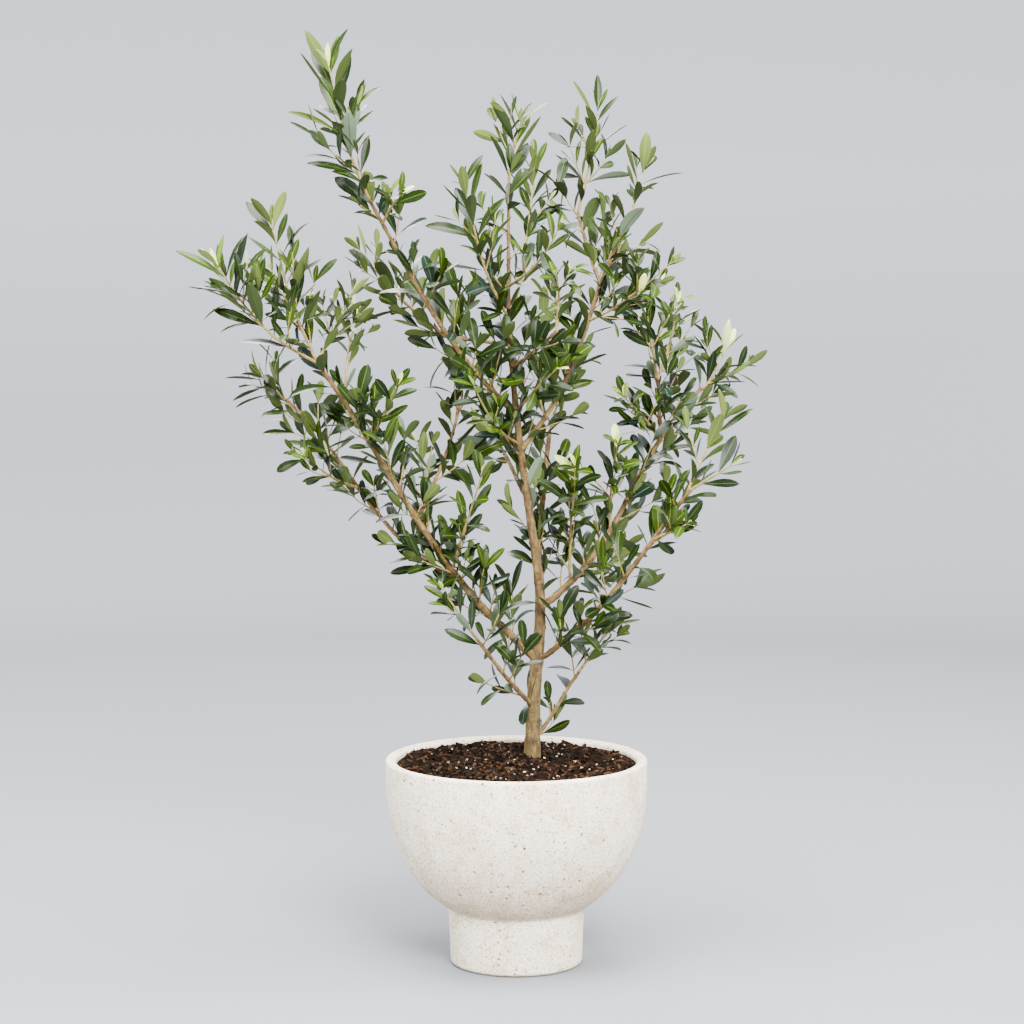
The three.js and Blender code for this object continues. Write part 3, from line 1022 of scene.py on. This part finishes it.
def makeBowl():
    # one profile from the middle of the foot round the lip and back down to the middle inside
    lipRound = bowl["lipRound"]
    footEdge, footBottom = bowl["footEdge"], bowl["footBottom"]
    well = footBottom - bowl["wall"]
    shoulder = bowl["footHeight"] + bowl["wall"] * 0.6
    profile = np.concatenate(
        [
            np.linspace((0.0004, potLow.z), (footBottom - footEdge - 0.001, potLow.z), 6),
            arcLine((footBottom - footEdge, potLow.z + footEdge), footEdge, -90, 0, 8),
            np.linspace((footBottom, 0.008), (bowl["footTop"], bowl["footHeight"] - 0.0015), 24),
            wallLine(bowl["footHeight"] + 0.001, bowl["widestAt"], 0, 90),
            arcLine((bowl["radius"] - lipRound, potHigh.z - lipRound), lipRound, 0, 98, 16),
            arcLine(
                (bowl["radius"] - bowl["wall"] + lipRound, potHigh.z - bowl["lipFall"] - lipRound),
                lipRound, 115, 180, 10,
            ),
            wallLine(shoulder + bowl["wall"], bowl["widestAt"], bowl["wall"], 30)[::-1],
            np.linspace((well, shoulder), (well, bowl["floor"]), 4),
            np.linspace((well - 0.001, bowl["floor"]), (0.0004, bowl["floor"]), 6),
        ]
    )
    points = turned(profile, bowl["turns"], 3, bowl["unevenness"])
    points[..., 2] = np.maximum(points[..., 2], 0)
    piece = makePiece("bowl", points, tubeFaces(1, len(profile), bowl["turns"]), [stoneMaterial])
    finishPiece(piece, ["pot"])


makeBowl()
print("bowl made")


# potting soil: composted bark and peat, damp and crumbly, so the eye sees dark clods with
# reddish fibres and bright grains of perlite

_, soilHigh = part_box("soil")
soil = {
    "radius": soilHigh.x - 0.0006,
    "level": soilHigh.z + 0.0012,
    "edgeDrop": 0.001,
    "clod": 0.012,
    "clodHeight": 0.0052,
    "crumb": 0.0042,
    "crumbHeight": 0.0022,
    "depth": 14 * mm,
    "lump": 4 * mm,
    "colours": [(0.3, "060302"), (0.72, "20140b"), (0.5, "0e0804")],
    "spread": 0.97,
    "rings": 110,
    "turns": 300,
}


def soilHeight(points):
    # the level falls a little to the wall, and two sizes of noise pile up clods and crumbs
    flat = points * np.array([1.0, 1.0, 0.0])
    away = np.linalg.norm(flat, axis=-1) / soil["radius"]
    clods = smoothNoise(flat, soil["clod"], 5) + 0.5 * smoothNoise(flat, 0.5 * soil["clod"], 6)
    crumbs = np.abs(smoothNoise(flat, soil["crumb"], 7))
    height = soil["clodHeight"] * clods + soil["crumbHeight"] * crumbs
    fade = np.clip((1 - away) / 0.04, 0, 1)
    return soil["level"] - soil["edgeDrop"] * away**4 + height * fade


def earthPattern(add):
    # fine lumps from near black to dark brown
    place = add("ShaderNodeTexCoord")
    lumps, colour = mottle(
        add, (place, "Object"), soil["lump"], soil["colours"], Detail=6.0, Roughness=0.7
    )
    relief = add(
        "ShaderNodeBump", {"Strength": 0.8, "Distance": 1.2 * mm}, {"Height": (lumps, "Fac")}
    )
    return {"Base Color": (colour, "Color"), "Normal": (relief, "Normal")}


earthMaterial = newMaterial(
    "peat and bark compost, damp", {"Roughness": 0.92, "IOR": 1.12}, build=earthPattern
)


def makeSoil():
    # rings out from the middle at the soil's height, then its hidden side and flat underside
    share = np.linspace(0, 1, soil["rings"])[:, None]
    angles = np.linspace(0, 2 * math.pi, soil["turns"], endpoint=False)[None]
    distance = 0.0005 + share * (soil["radius"] - 0.0005)
    flat = 0 * distance * angles
    top = np.stack([distance * np.cos(angles), distance * np.sin(angles), flat], -1)
    top[..., 2] = soilHeight(top)
    under = top[[-1, 0]].copy()
    under[..., 2] = soil["level"] - soil["depth"]
    points = np.concatenate([top, under])
    piece = makePiece(
        "soil-surface", points, tubeFaces(1, soil["rings"] + 2, soil["turns"]), [earthMaterial]
    )
    piece.data.flip_normals()
    finishPiece(piece, ["soil"])


makeSoil()


def scatter(count, seed):
    # places spread evenly over the round surface, each with its own turn
    draw = np.random.default_rng(seed)
    distance = soil["spread"] * soil["radius"] * np.sqrt(draw.random(count))
    bearing = draw.uniform(0, 2 * math.pi, count)
    place = np.stack([distance * np.cos(bearing), distance * np.sin(bearing), 0 * bearing], -1)
    place[:, 2] = soilHeight(place)
    return place, draw


def tumbled(draw, count, tilt):
    # three directions square to each other for each small piece, tipped by up to the tilt
    upward = unit(np.array([0, 0, 1]) + draw.normal(0, tilt, (count, 3)))
    bearing = draw.uniform(0, 2 * math.pi, count)
    forward = np.stack([np.cos(bearing), np.sin(bearing), 0 * bearing], -1)
    forward = unit(forward - (forward * upward).sum(-1, keepdims=True) * upward)
    return forward, np.cross(upward, forward), upward


crumbKinds = {
    "soil-bark-chips": {
        "count": 1500, "seed": 31, "tilt": 1.1, "sides": 5, "sink": 0.1,
        "long": (4.0, 14.0), "wide": (2.4, 5.6), "thick": (1.2, 3.8),
        "colours": ["080402", "110a06", "1b110a", "281a10", "3a281b"], "roughness": 0.8, "ior": 1.1,
        "finish": "composted bark chips, damp",
    },
    "soil-fibres": {
        "count": 150, "seed": 32, "tilt": 0.3, "sides": 4, "sink": -1.2,
        "long": (7, 18), "wide": (0.6, 1.3), "thick": (0.5, 0.9),
        "colours": ["4a2715", "5e371f", "331c10"], "roughness": 0.85, "ior": 1.15,
        "finish": "peat fibres, dry",
    },
    "soil-perlite": {
        "count": 150, "seed": 33, "tilt": 0.6, "sides": 5, "sink": -0.3,
        "long": (2.0, 5.4), "wide": (1.4, 2.8), "thick": (1.2, 2.2),
        "colours": ["b3a48c", "8f8069", "cdc0a8"], "roughness": 0.9, "ior": 1.3,
        "finish": "perlite grains, chalky",
    },
}


def makeCrumbs(name, kind):
    # many small stones or chips at once: a stretched ball of four rings with uneven corners
    count = kind["count"]
    place, draw = scatter(count, kind["seed"])
    forward, beside, upward = tumbled(draw, count, kind["tilt"])
    long, wide, thick = (
        draw.uniform(*kind[side], (count, 1, 1)) * mm / 2
        for side in ("long", "wide", "thick")
    )
    rings, sides = 4, kind["sides"]
    slide = np.array([-1, -0.55, 0.5, 1])
    width = np.array([0.35, 1, 0.95, 0.3])
    angles = np.linspace(0, 2 * math.pi, sides, endpoint=False)
    uneven = draw.uniform(0.7, 1.2, (count, rings, sides))
    bow = draw.normal(0, 0.12, (count, 1)) * (1 - slide**2)[None]
    ahead = long * slide[:, None] * np.ones(sides)
    level = wide * (width[:, None] * np.cos(angles)) * uneven + long * bow[..., None]
    rise = thick * (width[:, None] * np.sin(angles)) * uneven - kind["sink"] * thick
    points = place[:, None, None] + ahead[..., None] * forward[:, None, None]
    points = points + level[..., None] * beside[:, None, None]
    points = points + rise[..., None] * upward[:, None, None]
    faces = tubeFaces(count, rings, sides)
    materials = []
    for number, hexColour in enumerate(kind["colours"]):
        settings = {"Roughness": kind["roughness"], "IOR": kind["ior"]}
        settings["Base Color"] = linearColour(hexColour)
        materials.append(newMaterial(f"{kind['finish']} {number + 1}", settings))
    tint = draw.integers(0, len(materials), count)
    slots = np.concatenate([np.repeat(tint, (rings - 1) * sides), np.repeat(tint, 2)])
    piece = makePiece(name, points, faces, materials, slots)
    finishPiece(piece)


for name, kind in crumbKinds.items():
    makeCrumbs(name, kind)
print("soil made")


# studio: one pale round sweep that rises far outside the tree, soft boxes and a soft sky

studio = {
    "flatTo": 3.0,
    "sweep": 6.0,
    "sweepTo": -22,
    # floorNear to floorFar is painted light: the far sweep is painted paler where the lamps reach
    # it weakly
    "floorNear": "808388",
    "floorFar": "d8dae0",
    "skyColour": "eef1f7",
    "skyStrength": 1.3,
    "lights": [
        {"name": "top", "place": (0.0, -0.7, 3.1), "size": 1.8, "power": 450},
        {"name": "key", "place": (0.9, -3.1, 2.3), "size": 1.3, "power": 480},
        {"name": "left", "place": (-2.7, -1.3, 2.0), "size": 2.0, "power": 130},
        {"name": "right", "place": (2.9, 0.4, 2.0), "size": 2.0, "power": 110},
        {"name": "back", "place": (-0.9, 2.8, 2.8), "size": 1.8, "power": 190},
    ],
}


def paintedLightOutwards(add):
    # the distance from the middle, as a share of the width, picks a colour between near and far:
    # painted light, the sweep paler as it goes out and up, where the lamps reach it weakly, so the
    # backdrop reads as brightly lit
    place = add("ShaderNodeTexCoord")
    width = studio["flatTo"] + studio["sweep"]
    shrunk = add("ShaderNodeMapping", {"Scale": (1 / width,) * 3}, {"Vector": (place, "Object")})
    away = add("ShaderNodeVectorMath", {"operation": "LENGTH"}, {"Vector": (shrunk, "Vector")})
    colour = add(
        "ShaderNodeValToRGB",
        {"stops": [(0.3, studio["floorNear"]), (0.72, studio["floorFar"])]},
        {"Fac": (away, "Value")},
    )
    return {"Base Color": (colour, "Color")}


def makeFloor():
    # flat out to the sweep, then an arc up, turned about the upright axis and facing inwards
    sweep = studio["sweep"]
    profile = np.concatenate(
        [
            np.linspace((0.001, 0), (studio["flatTo"], 0), 12),
            arcLine((studio["flatTo"], sweep), sweep, -89, studio["sweepTo"], 40),
        ]
    )
    points = turned(profile, 96, 1, 0)
    walls, _ = tubeFaces(1, len(profile), 96)
    material = newMaterial(
        "painted studio floor, matt", {"Roughness": 0.95, "IOR": 1.15}, build=paintedLightOutwards
    )
    floor = makePiece("floor", points, [walls[:, ::-1]], [material])


makeFloor()
for lamp in studio["lights"]:
    data = bpy.data.lights.new(lamp["name"], "AREA")
    data.energy = lamp["power"]
    data.size = lamp["size"]
    lampObject = bpy.data.objects.new(lamp["name"], data)
    lampObject.location = lamp["place"]
    lampObject.visible_camera = False
    aim = np.array([0, 0, 0.5]) - np.array(lamp["place"])
    lampObject.rotation_euler = (
        math.atan2(math.hypot(aim[0], aim[1]), -aim[2]),
        0,
        math.atan2(aim[1], aim[0]) - math.pi / 2,
    )
    bpy.context.collection.objects.link(lampObject)

world = bpy.data.worlds.new("soft sky")
world.use_nodes = True
background = world.node_tree.nodes["Background"]
background.inputs["Color"].default_value = linearColour(studio["skyColour"])
background.inputs["Strength"].default_value = studio["skyStrength"]
bpy.context.scene.world = world
print("studio made")
